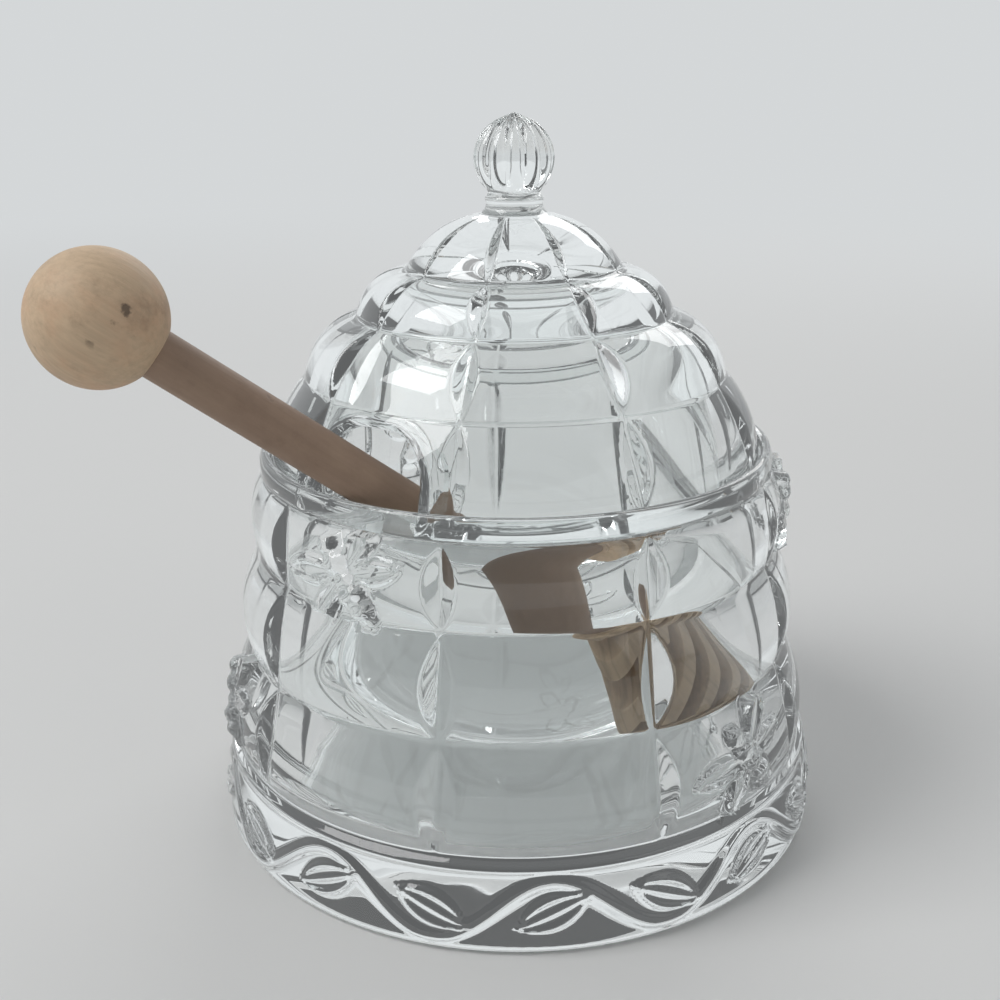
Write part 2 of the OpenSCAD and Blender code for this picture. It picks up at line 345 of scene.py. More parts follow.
# Its abdomen lies back from its middle, with stripes, and its thorax and head
# are balls before it.
ABDOMEN_BACK, ABDOMEN_LONG, ABDOMEN_WIDE, ABDOMEN_DROP = 3.64, 6.7, 3.0, 2.7
STRIPE_RISE, STRIPE_PITCH = 0.26, 3.2
THORAX_AT, THORAX_R, THORAX_RISE = 2.1, 2.6, 0.4
HEAD_AT, HEAD_R, HEAD_RISE = 5.3, 1.9, 0.2

# A leaf's half length and half width. Its body, edge and midrib rise by
# shares of the relief, and the edge follows the oval at a share of its width.
LEAF_TILT = math.radians(24)
LEAF_LONG, LEAF_WIDE = 6.7, 3.3
LEAF_BODY, LEAF_SLOPE = 0.3, 2.5
LEAF_EDGE, EDGE_AT, EDGE_WIDE = 0.85, 0.72, 0.2
LEAF_RIB, RIB_WIDE = 0.6, 0.6

# The stem's swing off the band's middle, its height and half width, the bead
# at a share of the band's height, and how fast leaves and stem rise out of
# the band's lower end and sink at its upper one.
STEM_REACH, STEM_RISE, STEM_WIDE = 5.1, 0.55, 1.2
BEAD_RISE, BEAD_AT, BEAD_WIDE = 0.45, 0.95, 0.045
BAND_SWELL = 1.6
RISE_IN, SINK_OUT = 6, 8


def oval(x, y, long, wide):
    """How far inside a pointed oval along x a point is: the oval's half
    width is wide (1 - (x / long)^2), and the result is |y| over it."""
    half = wide * np.maximum(1 - (x / long) ** 2, LEAST)
    return np.where(np.abs(x) < long, np.abs(y) / half, PAST)


def dome(d2, r, top):
    """Height of a ball of radius r whose top is at the given height, at the
    squared distance d2 from its middle: top - r + sqrt(r^2 - d2)."""
    return np.where(d2 < r * r, top - r + np.sqrt(np.maximum(r * r - d2, 0)), -PAST)


def bee(glass, x, y, out):
    """Height of the glass with a bee on it, x round the pot and y up from
    its middle: the greatest of the glass, a striped parabolic abdomen, a
    ball for the thorax, another for the head and four hollowed pointed wings."""
    along = -x * math.sin(BEE_TILT) + y * math.cos(BEE_TILT)
    across = x * math.cos(BEE_TILT) + y * math.sin(BEE_TILT)
    height = glass
    for side in (-1, 1):
        for pair in (0, 1):
            turn = math.radians(90 - side * (WING_TURN + WING_STEP * pair))
            far = WING_LONG - pair
            u = across * math.cos(turn) + along * math.sin(turn) - far - WING_ROOT
            v = -across * math.sin(turn) + along * math.cos(turn)
            inside = oval(u, v, far + WING_TIP, WING_WIDE - HIND_NARROW * pair)
            edge = np.clip((1 - inside) / WING_SLOPE, 0, 1)
            rim = WING_RIM * np.exp(-((inside - RIM_AT) / RIM_WIDE) ** 2)
            wing = glass + (out - WING_DROP + rim - glass) * edge * edge * (3 - 2 * edge)
            height = np.maximum(height, wing)
    tail = along + ABDOMEN_BACK
    girth = ABDOMEN_WIDE * np.maximum(1 - (tail / ABDOMEN_LONG) ** 2, 0)
    stripes = STRIPE_RISE * np.cos(TURN * tail / STRIPE_PITCH)
    back = out - ABDOMEN_DROP + np.sqrt(np.maximum(girth ** 2 - across ** 2, 0)) + stripes
    abdomen = np.where(np.abs(across) < girth, back, -PAST)
    thorax = dome(across ** 2 + (along - THORAX_AT) ** 2, THORAX_R, out + THORAX_RISE)
    head = dome(across ** 2 + (along - HEAD_AT) ** 2, HEAD_R, out + HEAD_RISE)
    for part in (abdomen, thorax, head):
        height = np.maximum(height, part)
    return height


def tier(a, b, swell, t, theta, first, panels, share, bees=None, out=0.0):
    """Radius and height at share t of the way from groove a to groove b. The
    glass stands out of that line by 4 swell t (1 - t), but no further than
    swell times the distance to the nearest mitre over the mitre's half
    width. In one panel of three, the one numbered bees, it carries a bee."""
    (ra, za), (rb, zb) = a, b
    step = TURN / panels
    span = math.hypot(rb - ra, zb - za)
    mid = (ra + rb) / 2
    number = np.floor((theta - first) / step + MARGIN)
    turned = (theta - first) - (number + 0.5) * step
    to_mitre = mid * (step / 2 - np.abs(turned))
    half = share * mid * step / 2
    stands = 4 * swell * t * (1 - t)
    stands = np.minimum(stands, swell * np.hypot(to_mitre, MITRE_SOFT) / half)
    if bees is not None:
        with_bee = bee(stands, mid * turned, (t - 0.5) * span, swell + out)
        stands = np.where(number % 3 == bees, with_bee, stands)
    return (ra + (rb - ra) * t + (zb - za) / span * stands,
            za + (zb - za) * t - (rb - ra) / span * stands)


def leaf_band(t, theta, foot, top, first, panels, relief):
    """Radius and height at share t of the way up the leaf band, between
    (foot, 0) and top. Pointed ovals with a midrib and a raised edge lie at
    every half panel, tilted by turns, and a broad cosine stem weaves over
    one and under the next, below a bead round the top."""
    step = TURN / panels / 2
    number = np.floor((theta - first) / step + 0.5)
    x = foot * ((theta - first) - number * step)
    y = (t - 0.5) * top[1]
    even = np.where(number % 2 == 0, 1.0, -1.0)
    u = x * math.cos(LEAF_TILT) - even * y * math.sin(LEAF_TILT)
    v = even * x * math.sin(LEAF_TILT) + y * math.cos(LEAF_TILT)
    inside = oval(u, v, LEAF_LONG, LEAF_WIDE)
    body = np.clip((1 - inside) * LEAF_SLOPE, 0, 1)
    edge = LEAF_EDGE * np.exp(-((inside - EDGE_AT) / EDGE_WIDE) ** 2) * (inside < 2)
    rib = LEAF_RIB * body * np.exp(-(v / RIB_WIDE) ** 2)
    leaf = relief * (LEAF_BODY * body + edge + rib)
    phase = math.pi * (theta - first) / step
    slope = STEM_REACH * math.pi / (foot * step) * np.sin(phase)
    stem = np.abs(y + STEM_REACH * np.cos(phase)) / np.hypot(1, slope)
    stem = STEM_RISE * np.exp(-(stem / STEM_WIDE) ** 4)
    bead = BEAD_RISE * np.exp(-((t - BEAD_AT) / BEAD_WIDE) ** 2)
    ends = np.clip(RISE_IN * t, 0, 1) * np.clip(SINK_OUT * (1 - t), 0, 1)
    stands = BAND_SWELL * t * (1 - t) + np.maximum(np.maximum(leaf, stem) * ends, bead)
    return foot + (top[0] - foot) * t + stands, top[1] * t


def round_corner(centre, r, start, end, steps):
    """Arc of a circle from one angle in degrees to another, as radii and heights."""
    a = np.radians(np.linspace(start, end, steps))
    return centre[0] + r * np.cos(a), centre[1] + r * np.sin(a)


# The pot

# Radius of the leaf band's top, and the roundings of the foot and of the
# inside's lower corner.
BAND_TOP = 55.4
FOOT_ROUND, INNER_ROUND = 1.5, 8

# The rim's step over its groove, out and up, the heights over the seat at
# which the pattern's columns end and the lip does, and the seat's easing.
RIM_OUT, RIM_UP = 0.3, 0.7
PLAIN_FROM, LIP_HIGH, SEAT_EASE = 3.8, 5.2, 0.3

# For each tier, its rows and the panel of three that carries a bee, and for
# the flat base and floor, the shares of their radius at which rings lie.
TIER_ROWS = (32, 16, 27)
BEE_PANELS = (1, None, 2)
BASE_RINGS = np.array([0.3, 0.6, 0.9])
FLOOR_RINGS = np.array([0.5, 0.2])


def pot_surface(pot, pattern):
    """The whole pot as one grid: out under the base, up the leaf band and
    three tiers, over the lip, down the seat and the inside, to the floor."""
    foot, band, rim, lip, seat, mouth, inner, floor = mm(
        pot, "foot", "band", "rim", "lip", "seat", "mouth", "inner", "floor")
    bee_relief, leaf_relief = mm(pattern, "relief", "leaf_relief")
    panels, first, share = pattern.panels, pattern.first_mitre, pattern.mitre_share
    theta = first + np.arange(COLUMNS)[None, :] * TURN / COLUMNS
    sparse = theta[:, ::COLUMNS // PLAIN_COLUMNS]
    rows = []

    def ring(r, z, at=sparse):
        """Adds a row for each radius and height, plain unless told otherwise."""
        rows.extend(ring_points(np.atleast_1d(r)[:, None], np.atleast_1d(z)[:, None], at))

    def shares(count, start=0.0):
        """Even steps from start to just before 1."""
        return np.linspace(start, 1.0, count, endpoint=False)[:, None]

    ring(foot * BASE_RINGS, 0)
    ring(*round_corner((foot - FOOT_ROUND, FOOT_ROUND), FOOT_ROUND, -90, -10, 6))
    r, z = leaf_band(shares(38, 0.1), theta, foot, (BAND_TOP, band), first, panels, leaf_relief)
    rows.extend(ring_points(r, z, theta))
    ring([BAND_TOP, BAND_TOP - 0.5], [band - 0.05, band + 0.35], theta)
    for k, (swell, count, bees) in enumerate(zip(POT_SWELLS, TIER_ROWS, BEE_PANELS)):
        r, z = tier(POT_GROOVES[k], POT_GROOVES[k + 1], swell, shares(count), theta,
                    first, panels, share, bees, bee_relief)
        rows.extend(ring_points(r, z, theta))
    half_lip = lip / 2
    top = POT_GROOVES[-1][1]
    ring([rim, rim + RIM_OUT], [top, top + RIM_UP], theta)
    ring(rim + RIM_OUT, seat + PLAIN_FROM)
    ring(*round_corner((rim - half_lip, seat + LIP_HIGH - half_lip), half_lip, 0, 180, 8))
    ring([rim - lip, rim - lip - SEAT_EASE, mouth + SEAT_EASE, mouth],
         [seat + SEAT_EASE, seat, seat, seat - SEAT_EASE])
    down = shares(7, 0.1)[:, 0]
    ring(mouth + (inner - mouth) * down, seat + (floor + INNER_ROUND - seat) * down)
    ring(*round_corner((inner - INNER_ROUND, floor + INNER_ROUND), INNER_ROUND, 0, -90, 9))
    ring(inner * FLOOR_RINGS, floor)
    return closed_surface("pot_glass", rows, (0, 0, 0), (0, 0, floor))


# The lid

# How far the notch's middle lies off its panel's and how its feet are
# rounded. The edge's polish grows in the notch over NOTCH_FADE in height, and
# columns settle to even angles within TURN_FADE of the panel's sides.
NOTCH_SHIFT, NOTCH_FOOT = -1.5, 1.0
POLISH, NOTCH_POLISH, NOTCH_FADE = 0.45, 1.25, 3
TURN_FADE = 2.5
LID_TIER_ROWS = (24, 18, 20)

# The neck's radius and its rounding, the collar's points out from the neck
# and up, and the height of the knob's middle.
NECK, NECK_ROUND = 5.0, 1.8
COLLAR = ((0.15, 2.3), (0.15, 2.8), (-0.2, 3.2))
KNOB_RISE = 9.4

# The knob's point: its radius, its cone's rise and its pole's. The flutes'
# depth and sharpness, and the angles from the top at which they fade.
TIP_R, TIP_RISE, TIP_TOP = 2.7, 1.1, 1.05
FLUTE_DEEP, FLUTE_SHARP = 0.85, 1.3
FLUTE_LOW, FLUTE_LOW_FADE, FLUTE_TOP_FADE = 132, 34, 20


def notch_outline(width, height, corner, edge, count):
    """Points along the lid's lower edge from -edge to edge, up round the
    notch and down again, evenly spaced, with the unit normals into the glass."""
    left, right, foot = NOTCH_SHIFT - width / 2, NOTCH_SHIFT + width / 2, NOTCH_FOOT
    bend = np.radians(np.linspace(0, 90, 9))
    up, over = np.sin(bend), np.cos(bend)
    points = np.concatenate([
        [(-edge, 0.0)],
        np.stack([left - foot + foot * up, foot - foot * over], axis=-1),
        np.stack([left + corner - corner * over, height - corner + corner * up], axis=-1),
        np.stack([right - corner + corner * up, height - corner + corner * over], axis=-1),
        np.stack([right + foot - foot * over, foot - foot * up], axis=-1),
        [(edge, 0.0)]])
    run = np.concatenate([[0], np.cumsum(np.hypot(*np.diff(points, axis=0).T))])
    at = np.linspace(0, run[-1], count)
    x, z = np.interp(at, run, points[:, 0]), np.interp(at, run, points[:, 1])
    smooth = np.linspace(0, run[-1], 8 * count)
    dense = np.stack([np.interp(smooth, run, points[:, 0]), np.interp(smooth, run, points[:, 1])])
    slope = np.gradient(dense, axis=1)
    slope = np.stack([np.convolve(np.pad(row, 8, mode="edge"), np.ones(17) / 17, "valid") for row in slope])
    nx, nz = (np.interp(at, smooth, row) for row in (-slope[1], slope[0]))
    size = np.hypot(nx, nz)
    return x, z, nx / size, nz / size


def knob_rows(knob, middle, first, flutes):
    """Rows of the knob from its neck to near its point: a ball of radius
    knob round the height middle, with rounded flutes that fade out towards
    the neck and the top, under a small cone of radius TIP_R."""
    theta = first + np.arange(KNOB_COLUMNS) * TURN / KNOB_COLUMNS
    groove = np.abs(np.sin(flutes / 2 * (theta - first)))
    lowest = 180 - math.degrees(math.asin(NECK / knob))
    rows = []
    for polar in np.linspace(lowest, 4, 38):
        fade = np.clip((FLUTE_LOW - polar) / FLUTE_LOW_FADE, 0, 1) * np.clip(polar / FLUTE_TOP_FADE, 0, 1)
        depth = FLUTE_DEEP * fade * (1 - groove) ** FLUTE_SHARP
        r = (knob - depth) * math.sin(math.radians(polar))
        z = middle + (knob - depth) * math.cos(math.radians(polar))
        cone = np.sqrt(knob ** 2 - TIP_R ** 2) + TIP_RISE * (1 - r / TIP_R) + middle
        rows.append(ring_points(r, np.maximum(z, np.where(r < TIP_R, cone - depth, z)), theta))
    return rows


def lid_surface(lid, pattern):
    """The whole lid as one grid: down the dome's inside, round the fire
    polished edge and the notch, up the outside's four tiers, the neck and
    the fluted knob. Along the edge the columns crowd into the notch, and
    they spread out again to their own angles at the first groove."""
    edge, underside, wall, high, knob = mm(lid, "edge", "underside", "wall", "dome", "knob")
    width, height, corner = mm(lid, "notch_width", "notch_height", "notch_round")
    panels, share = pattern.panels, pattern.mitre_share
    first = pattern.first_mitre + pattern.lid_turn
    step = TURN / panels
    per_panel = LID_COLUMNS // panels
    theta = first - step + np.arange(LID_COLUMNS) * TURN / LID_COLUMNS
    sparse = theta[::LID_COLUMNS // PLAIN_COLUMNS]
    middle = first - step / 2
    (r1, z1), (r2, z2) = LID_GROOVES[0], LID_GROOVES[1]
    plain = z1 - underside
    slant = math.hypot(r2 - r1, z2 - z1)

    reach = edge * math.sin(step / 2)
    x, up, nx, nz = (np.zeros(LID_COLUMNS) for _ in range(4))
    nz[:] = 1
    in_zone = np.arange(LID_COLUMNS) <= per_panel
    x[in_zone], up[in_zone], nx[in_zone], nz[in_zone] = notch_outline(
        width, height, corner, reach, per_panel + 1)
    x = np.where(in_zone, x, edge * np.sin(np.clip(theta - middle, -step / 2, step / 2)))
    polish = POLISH + NOTCH_POLISH * np.clip(up / NOTCH_FADE, 0, 1)

    def turned(x, r):
        """Angle of a point x mm to the side of the notch's middle at radius r."""
        straight = middle + np.arcsin(np.clip(x / r, -1, 1))
        level = middle + x / reach * step / 2
        blend = np.clip((reach - np.abs(x)) / TURN_FADE, 0, 1)
        return np.where(in_zone, level + (straight - level) * blend, theta)

    def outside(path, at):
        """Point of the edge and first tier at a length of path up from the underside."""
        t = np.clip((path - plain) / slant, 0, 1)
        r, z = tier((r1, z1), (r2, z2), LID_SWELLS[0], t, at, first, panels, share)
        low = path < plain
        return np.where(low, r1, r), np.where(low, underside + path, z)

    def inside(rise):
        """Radius of the round inside at a height above the underside."""
        return (edge - wall) * np.sqrt(np.maximum(1 - (rise / high) ** 2, 0))

    # Where each column meets the polished edge, up from the underside and
    # round the outside.
    start_x, start_up = x + nx * polish, up + nz * polish
    join = z2 - underside
    over_plain = plain + (start_up - plain) / (z2 - z1) * slant
    start = np.where(start_up < plain, start_up, over_plain)
    bend = turned(start_x, edge)

    # The inside, from its top down to the edge.
    rows = []
    lowest = math.degrees(math.asin(join / high)) + 2
    for tilt in np.radians(np.linspace(86, lowest, 13)):
        rise = high * math.sin(tilt)
        rows.append(ring_points(inside(rise), underside + rise, sparse))
    for part in np.linspace(1, 0, 16):
        rise = start_up + (join - start_up) * part
        r = inside(rise)
        at = turned(start_x, r) + (theta - turned(start_x, r)) * part
        rows.append(ring_points(r, underside + rise, at))

    # The polished edge, half an ellipse from its inner side to its outer.
    low = inside(start_up)
    top, _ = outside(start, bend)
    for tilt in np.radians(np.linspace(0, 180, 9))[1:-1]:
        out = math.sin(tilt)
        here_x, here_up = x + nx * polish * (1 - out), up + nz * polish * (1 - out)
        r = (top + low) / 2 - (top - low) / 2 * math.cos(tilt)
        rows.append(ring_points(r, underside + here_up, turned(here_x, r)))

    # The outside of the edge, then the tiers.
    split = plain / (plain + slant)
    for part in np.concatenate([np.linspace(0, split, 5, endpoint=False),
                                np.linspace(split, 1, 27, endpoint=False)]):
        path = start + (plain + slant - start) * part
        at = bend + (theta - bend) * part
        r, z = outside(path, at)
        rows.append(ring_points(r, z, at))
    for k, count in enumerate(LID_TIER_ROWS, 1):
        t = np.linspace(0, 1, count, endpoint=False)[:, None]
        at = theta[None, :]
        r, z = tier(LID_GROOVES[k], LID_GROOVES[k + 1], LID_SWELLS[k], t, at, first, panels, share)
        rows.extend(ring_points(r, z, at))

    # The neck with its collar, then the knob.
    neck_z = LID_GROOVES[-1][1]
    knob_z = neck_z + KNOB_RISE
    for r, z in zip(*round_corner((NECK + NECK_ROUND, neck_z + NECK_ROUND), NECK_ROUND, 270, 180, 6)):
        rows.append(ring_points(r, z, sparse))
    for out, rise in COLLAR:
        rows.append(ring_points(NECK + out, neck_z + rise, sparse))
    rows.extend(knob_rows(knob, knob_z, first, lid.flutes))
    tip = knob_z + math.sqrt(knob ** 2 - TIP_R ** 2) + TIP_TOP
    return closed_surface("lid_glass", rows, (0, 0, underside + high), (0, 0, tip))


# The wooden dipper

# How deep the stick goes into the head, how far short of the ball's centre
# it starts, the play round it in both, and how uneven turned wood is.
HEAD_SOCKET = 9
STICK_START = 0.4
SOCKET_PLAY = 0.04
UNEVEN = 0.004


def dipper_axes():
    """The ball's centre in millimetres and three unit directions, the last
    of which runs down the stick, away from the ball."""
    low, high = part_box("dipper_ball")
    centre = np.array((low + high) / 2) / MM
    joint = next(j for j in frame["joints"] if j["name"] == "dipper_draw")
    down = -np.array(joint["axis"], float)
    down /= np.linalg.norm(down)
    side = np.cross(down, (0, 0, 1))
    side /= np.linalg.norm(side)
    return centre, side, np.cross(down, side), down


def stick_end(stick):
    """Distance from the ball's centre to the stick's lower end. Along each
    axis, the stick's box ends where the rim of its flat end does."""
    low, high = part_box("dipper_stick")
    centre, _, _, down = dipper_axes()
    far = np.where(down > 0, np.array(high), np.array(low)) / MM
    flat = np.sqrt(1 - down ** 2) * stick * np.sign(down)
    return float(np.mean((far - flat - centre) / down))


def turned_surface(name, r, s, columns, wobble=None):
    """Surface turned about the stick's axis: radius r at distance s from the
    ball's centre, both along the outline, r changed by wobble(angle, s)."""
    centre, side, over, down = dipper_axes()
    theta = np.arange(columns) * TURN / columns
    r, s = np.asarray(r, float)[:, None], np.asarray(s, float)[:, None]
    wide = r if wobble is None else r * wobble(theta[None, :], s)
    across = np.cos(theta)[None, :, None] * side + np.sin(theta)[None, :, None] * over
    grid = centre + wide[..., None] * across + s[..., None] * down
    return closed_surface(name, list(grid), centre + s[0, 0] * down, centre + s[-1, 0] * down)


def ball_surface(ball, stick):
    """A ball r = ball sin a, s = -ball cos a, a little out of round from
    hand turning, with a drilled socket for the stick and a softened rim."""
    a = np.linspace(0.03, math.pi - math.asin((stick + 0.35) / ball), 60)
    r, s = ball * np.sin(a), -ball * np.cos(a)
    rim = s[-1]
    bore = stick + SOCKET_PLAY
    r = np.concatenate([r, [stick + 0.15, bore, bore, stick - 0.5]])
    s = np.concatenate([s, [rim - 0.05, rim - 0.3, STICK_START - 0.1, STICK_START - 0.2]])

    def wobble(theta, s):
        """1 less a wave twice round the ball that dies out at its ends."""
        waist = np.sqrt(np.clip(1 - (s / ball) ** 2, 0, 1))
        return 1 - UNEVEN * (1 + np.cos(2 * theta + 0.1 * s)) * waist

    return turned_surface("dipper_ball_wood", r, s, 96, wobble)


def stick_surface(stick, start, end):
    """A dowel with softened ends that is a little uneven: its radius is
    stick less a wave once round it that turns slowly along it."""
    soft = (0.6, 0.15)
    r = [stick - soft[0], stick - soft[1]] + [stick] * 14 + [stick - soft[1], stick - soft[0]]
    s = np.concatenate([[start, start + soft[1]], np.linspace(start + soft[0], end - soft[0], 14),
                        [end - soft[1], end]])

    def wobble(theta, s):
        """1 less a wave once round the stick."""
        return 1 - UNEVEN * (1 + np.sin(theta + 0.06 * s))

    return turned_surface("dipper_stick_wood", r, s, 64, wobble)


def head_surface(head, head_length, stick, discs, start):
    """A barrel r = head (1 - 0.25 t^2), t from -1 to 1 along it, cut by
    rounded grooves down to the core between its discs, with a socket for
    the stick in its upper end."""
    groove_share, edge_share, core_wall = 0.275, 0.22, 1.2
    pitch = head_length / discs
    s = np.linspace(0, head_length, 40 * discs + 1)[1:-1]
    t = 2 * s / head_length - 1
    barrel = head * (1 - 0.25 * t ** 2)
    from_disc = np.abs((s / pitch) % 1 - 0.5) / groove_share
    edge = np.clip((1 - from_disc) / edge_share, 0, 1)
    core = stick + core_wall
    r = core + (barrel - core) * np.sqrt(1 - (1 - edge) ** 2)
    bore = stick + SOCKET_PLAY
    r = np.concatenate([[bore, bore, core - 0.3], r, [core - 0.2]])
    s = np.concatenate([[HEAD_SOCKET - 0.1, 0.3, 0.0], s, [head_length]]) + start
    return turned_surface("dipper_head_wood", r, s, 96)


# Finishes

GLASS_IOR = 1.52
SURROUND = (0.66, 0.68, 0.69)

# Light that has been mirrored inside the glass more often than this would come back black, so there the glass
# glows with painted light instead: an emission of a share of the surround's colour.
LAST_MIRRORED = 3.5
PAINTED_GLOW_SHARE = 0.09


def shade(tint, share):
    """A colour times a share: darker below 1 and lighter above it."""
    return tuple(share * value for value in tint)


def glass_material(tint):
    """Clear fire-polished glass: a faint unevenness of the surface bends
    what shows through it, and a little dust dulls the gloss in places.
    Where light has been mirrored inside it often, it glows with painted
    light, a share of the surround."""
    material = bpy.data.materials.new("pressed_glass")
    shader = Shader(material)
    surface = shader.nodes["Principled BSDF"].inputs
    where = shader.position()
    waves = shader.noise(where, scale=48.0, detail=0.0)
    fine = shader.noise(where, scale=420.0, detail=3.0, roughness=0.6)
    uneven = shader.node("ShaderNodeBump", {}, Height=waves, Strength=0.16, Distance=0.002)
    dust = shader.ramp(fine, (0.5, 0.85), (0.0, 0.05), "LINEAR")
    shader.put(surface["Base Color"], shader.mix(fine * 0.4, tuple(tint), shade(tint, 0.97)))
    shader.put(surface["Roughness"], dust)
    shader.put(surface["Normal"], uneven)
    # Painted light: past LAST_MIRRORED mirrorings the glass glows with a share of the surround's colour.
    painted_glow_mask = shader.math("GREATER_THAN", shader.ray("Glossy Depth"), LAST_MIRRORED)
    shader.put(surface["Emission Color"], shader.mix(painted_glow_mask, (0, 0, 0), SURROUND))
    shader.put(surface["Emission Strength"], PAINTED_GLOW_SHARE)
    shader.put(surface["Transmission Weight"], 1)
    shader.put(surface["IOR"], GLASS_IOR)
    return material


def wood_material(name, pale, dark, stain, rings, lines_share, stain_share, pits):
    """Turned wood: growth rings and long fibres along the stick, a stain in
    patches, grime, and dark pits where it has been knocked."""
    material = bpy.data.materials.new(name)
    shader = Shader(material)
    surface = shader.nodes["Principled BSDF"].inputs
    centre, side, over, down = dipper_axes()
    moved = shader.vector("SUBTRACT", shader.position(), tuple(centre * MM))
    x, y, z = (shader.vector("DOT_PRODUCT", moved, tuple(way), output="Value") for way in (side, over, down))

    def fibres(across, lengthwise, detail, roughness, distortion=0.0):
        """Noise with so many cells to a metre across the stick and along it."""
        stretched = shader.node("ShaderNodeCombineXYZ", {}, x * across, y * across, z * lengthwise)
        return shader.noise(stretched, 1.0, detail, roughness, distortion)

    fine = fibres(1500.0, 60.0, detail=4.0, roughness=0.65)
    lines = fibres(rings, 9.0, detail=2.0, roughness=0.5, distortion=0.4)
    banded = shader.math("SINE", lines * 34.0) * 0.5 + 0.5
    grain = banded ** 3 * lines_share + (1 - fine) ** 2 * 0.55
    body = shader.mix(grain, tuple(pale), tuple(dark))

    broad = fibres(110.0, 60.0, detail=5.0, roughness=0.62)
    patch = shader.ramp(broad, (0.45, 0.72), (0.0, stain_share))
    body = shader.mix(patch, body, tuple(stain))

    smudge = shader.noise(moved, scale=160.0, detail=6.0, roughness=0.7)
    grime = shader.ramp(smudge, (0.48, 0.75), (0.0, 0.38))
    body = shader.mix(grime, body, tuple(dark))

    ragged = shader.noise(moved, scale=900.0, detail=2.0, output="Color")
    torn = shader.vector("ADD", moved, shader.vector("SCALE", ragged, Scale=0.0016))
    spots = shader.node("ShaderNodeTexVoronoi", {}, Vector=torn, Scale=260.0, Randomness=1.0)
    chosen = shader.noise(moved, scale=75.0, detail=1.0)
    allow = shader.ramp(chosen, (0.56, 0.6), (0.0, pits), "LINEAR")
    pit = shader.ramp(spots, (0.14, 0.26), (1.0, 0.0)) * allow

    shader.put(surface["Base Color"], shader.mix(pit * 0.8, body, shade(dark, 0.35)))
    shader.put(surface["Roughness"], 0.52 + fine * 0.22)
    relief = fine * 0.35 + banded * 0.08 - pit
    shader.put(surface["Normal"],
               shader.node("ShaderNodeBump", {}, Height=relief, Strength=0.5, Distance=0.0004))
    shader.put(surface["Coat Weight"], 0.06)
    shader.put(surface["Coat Roughness"], 0.4)
    return material


# The stage, in metres

FLOOR_HALF = 6
FLOOR_Z = -0.0003
FLOOR_GLOW = 0.2
EVEN_LIGHT, EVEN_STRENGTH = (0.72, 0.74, 0.76), 0.45

# The dark side of the surround and the way to it from the pot.
DARK_ROOM = (0.02, 0.02, 0.022)
DARK_WAY = (0, -0.9, -0.44)

# Each lamp's name, width and height, power in watts, place and target.
LAMPS = (
    ("key", (0.8, 0.8), 11.0, (-0.9, -0.35, 1.15), (0, 0, 0.06)),
    ("back", (1.2, 0.5), 5.0, (0.35, 1.2, 0.75), (0, 0, 0.05)),
    ("fill", (0.7, 1.0), 1.2, (1.1, -0.7, 0.6), (0, 0, 0.06)),
)

# The photograph's camera: degrees that it looks down and is rolled, its
# sensor in millimetres, and its lens and shift as shares of the sensor.
CAMERA_AT = (-0.002986, -0.230776, 0.137883)
CAMERA_DOWN, CAMERA_ROLL = 19.5, -0.53
CAMERA_SENSOR, CAMERA_LENS, CAMERA_SHIFT = 36, 1.2883, 0.0134


def floor_material(pale):
    """Matt pale paint that fades into the surround with the distance from
    the middle, for rays that show it, and glows a little through the glass."""
    material = bpy.data.materials.new("floor_paint")
    shader = Shader(material)
    surface = shader.nodes["Principled BSDF"]
    where = shader.position()
    tone = shader.noise(where, scale=3.0, detail=4.0)
    shader.put(surface.inputs["Base Color"], shader.mix(tone * 0.5, tuple(pale), shade(pale, 0.985)))
    shader.put(surface.inputs["Roughness"], 0.75)
    radius = shader.vector("LENGTH", where, output="Value")
    far = shader.ramp(radius, (0.25, 1.1), (0.0, 1.0))
    haze = shader.node("ShaderNodeEmission", {}, (*SURROUND, 1))
    glow = shader.ray("Is Transmission Ray") * FLOOR_GLOW
    shows = shader.math("MAXIMUM", far * shader.shown(), glow)
    blend = shader.node("ShaderNodeMixShader", {}, shows, Socket(shader, surface.outputs[0]), haze)
    shader.put(shader.nodes["Material Output"].inputs["Surface"], blend)
    return material


def studio_world():
    """A pale surround. Mirrored and refracted rays see it darker on the
    side behind the camera, and the rest of its light falls evenly."""
    world = bpy.data.worlds.new("studio")
    shader = Shader(world)
    background = shader.nodes["Background"].inputs
    shows = shader.shown()
    forward = shader.vector("DOT_PRODUCT", shader.position("Generated"), DARK_WAY, output="Value")
    dim = shader.ramp(forward, (-0.3, 0.6), (0.0, 0.94))
    room = shader.mix(dim, shade(SURROUND, 1.2), DARK_ROOM)
    room = shader.mix(shader.ray("Is Camera Ray"), room, SURROUND)
    shader.put(background["Color"], shader.mix(shows, EVEN_LIGHT, room))
    shader.put(background["Strength"], EVEN_STRENGTH + shows * (1 - EVEN_STRENGTH))
    return world


def hang_lamp(name, size, power, spot, target):
    """A soft lamp at one spot that points at another. The one at the back
    is hidden from refracted rays, which would show it as a white sheet."""
    lamp = bpy.data.lights.new(name, "AREA")
    lamp.shape = "RECTANGLE"
    lamp.size, lamp.size_y = size
    lamp.energy = power
    held = bpy.data.objects.new(name, lamp)
    held.location = spot
    held.visible_transmission = name != "back"
    held.rotation_euler = (Vector(target) - Vector(spot)).to_track_quat("-Z", "Y").to_euler()
    bpy.context.scene.collection.objects.link(held)


# Operators, panel and registration

class MakePot(bpy.types.Operator):
    """Make the glass pot with its bees and its band of leaves"""
    bl_idname = "honey_pot.pot"
    bl_label = "Glass Pot"

    def execute(self, context):
        scene = context.scene
        mesh = pot_surface(scene.honey_pot_pot, scene.honey_pot_pattern)
        place(mesh, "pot", "pot", glass_material(scene.honey_pot_finish.glass), GLASS_CREASE)
        return {"FINISHED"}


